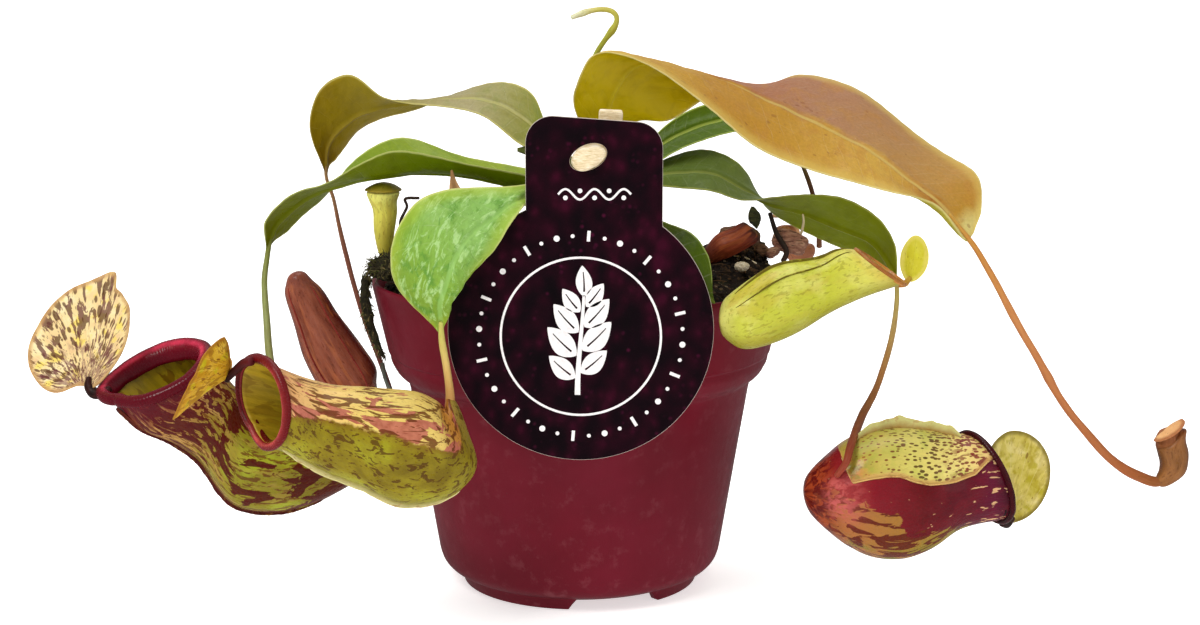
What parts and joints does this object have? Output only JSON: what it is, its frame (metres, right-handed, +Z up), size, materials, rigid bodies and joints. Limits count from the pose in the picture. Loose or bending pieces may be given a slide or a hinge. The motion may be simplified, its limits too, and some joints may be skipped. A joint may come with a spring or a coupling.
{
  "type": "potted pitcher plant",
  "caption": "Tropical pitcher plant with arching leaves, tendrils and hanging pitchers in a round plastic nursery pot with a blank hanging tag.",
  "frame": {"origin": "the pot's own axis, at the height of the plane that its feet stand on", "axes": "+Z up, -Y towards the front where the tag hangs, +X to the right seen from the front"},
  "size_m": [0.3271, 0.1477, 0.1669],
  "materials": {
    "pot_plastic": "satin",
    "soil": "matte",
    "tag_card": "satin",
    "pale_wood": "matte",
    "stem_green": "satin",
    "leaf_green": "satin",
    "leaf_bronze": "satin",
    "dry_leaf": "matte",
    "tendril_skin": "satin",
    "pitcher_speckled": "satin",
    "pitcher_burgundy": "gloss",
    "pitcher_bronze": "satin",
    "lid_speckled": "satin",
    "moss": "matte",
    "root": "matte",
    "bark": "matte",
    "perlite": "matte"
  },
  "bodies": {
    "root": {"bark_chip_1": "bark", "bark_chip_2": "bark", "bark_chip_3": "bark", "bark_chip_4": "bark", "dark_root": "root", "dark_scale": "root", "dry_leaf_tip": "dry_leaf", "dry_pitcher": "dry_leaf", "leaf_front_left": "leaf_green", "leaf_mid_left": "leaf_green", "leaf_mid_right": "leaf_green", "leaf_small_back": "leaf_green", "leaf_small_right": "leaf_green", "leaf_stub": "leaf_green", "leaf_upper_left": "leaf_bronze", "leaf_upper_right": "leaf_bronze", "lid_far_left": "lid_speckled", "lid_front_left": "lid_speckled", "lid_lower_right": "lid_speckled", "lid_rim": "lid_speckled", "lid_small_back": "lid_speckled", "lid_small_yellow": "lid_speckled", "lid_young": "pitcher_bronze", "moss_clump": "moss", "moss_tuft": "moss", "perlite_1": "perlite", "perlite_2": "perlite", "pitcher_far_left": "pitcher_speckled", "pitcher_front_left": "pitcher_speckled", "pitcher_lower_right": "pitcher_burgundy", "pitcher_red": "pitcher_burgundy", "pitcher_rim": "pitcher_speckled", "pitcher_small_back": "pitcher_speckled", "pitcher_small_yellow": "pitcher_speckled", "pitcher_young": "pitcher_bronze", "plant_tag": "tag_card", "pot": "pot_plastic", "root_strand": "root", "soil": "soil", "stem": "stem_green", "tag_peg": "pale_wood", "tag_stake": "pale_wood", "tendril_front_left": "tendril_skin", "tendril_mid_left": "tendril_skin", "tendril_mid_right": "tendril_skin", "tendril_small_back": "tendril_skin", "tendril_small_yellow": "tendril_skin", "tendril_upper_left": "tendril_skin", "tendril_upper_right": "tendril_skin", "wiry_twig": "root", "young_hook": "stem_green"}
  },
  "joints": []
}
